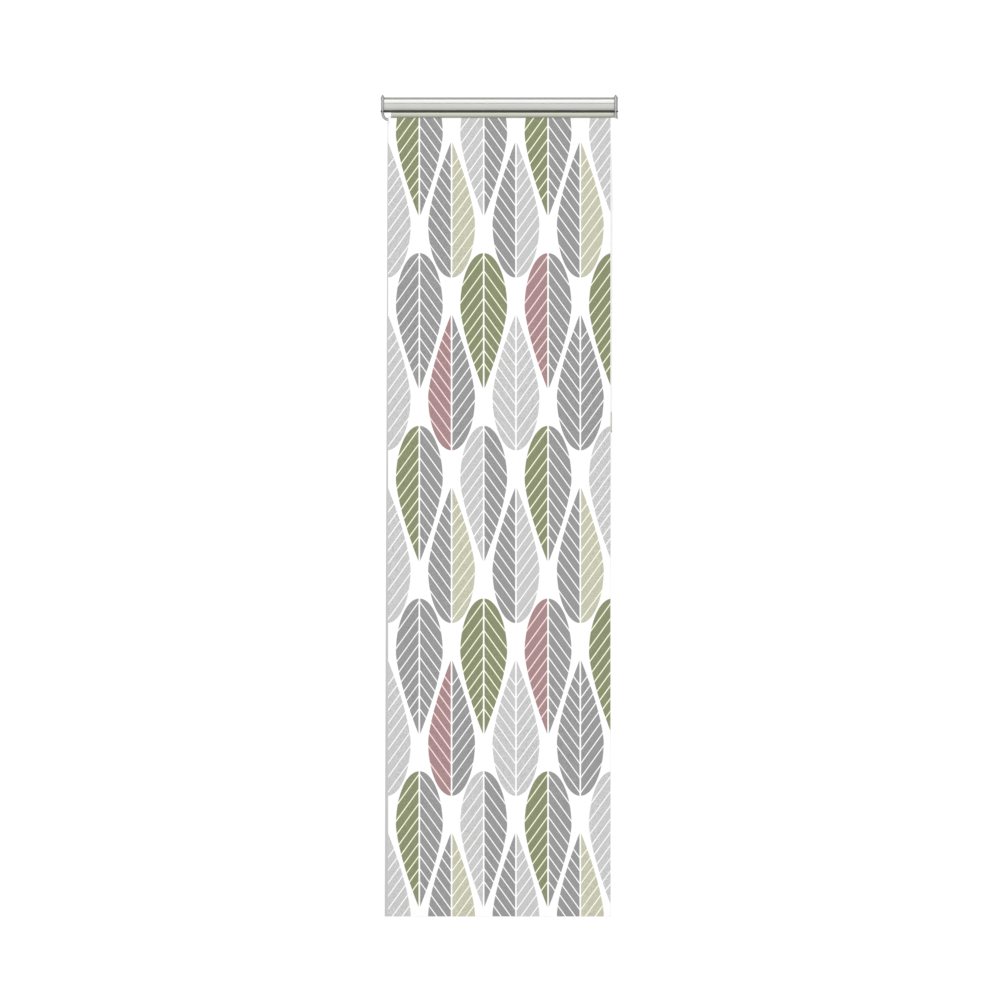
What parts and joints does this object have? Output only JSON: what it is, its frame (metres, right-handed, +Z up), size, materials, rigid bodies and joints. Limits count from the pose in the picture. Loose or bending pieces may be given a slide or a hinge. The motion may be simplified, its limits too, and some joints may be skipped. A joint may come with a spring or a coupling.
{
  "type": "panel curtain with head rail",
  "caption": "Flat hanging cloth panel printed with upright and inverted leaves, gripped by a pale carrier bar that runs under a silver wall rail with ridged end clips.",
  "frame": {"origin": "middle of the flat pad on the rail's back, on the wall's plane", "axes": "+Z up, along the panel's drop; +Y out of the part's back, into the wall; +X across the panel, to the right as seen from the room"},
  "size_m": [0.6386, 0.0365, 2.2097],
  "materials": {
    "printed_cloth": "matt plain weave, white ground with a printed leaf repeat in greys, green, rose and beige",
    "beige_tape": "matt woven tape",
    "cream_plastic": "satin",
    "silver_aluminium": "satin anodised",
    "dark_plastic": "matt",
    "grey_plastic": "satin",
    "clip_metal": "satin"
  },
  "bodies": {
    "root": {"cloth_panel": "printed_cloth", "side_tab": "beige_tape", "carrier_bar": "cream_plastic", "head_rail": "silver_aluminium", "rail_strip": "dark_plastic", "rail_end_left": "grey_plastic", "rail_end_right": "grey_plastic", "rail_clip_left": "clip_metal", "rail_clip_right": "clip_metal"}
  },
  "joints": []
}
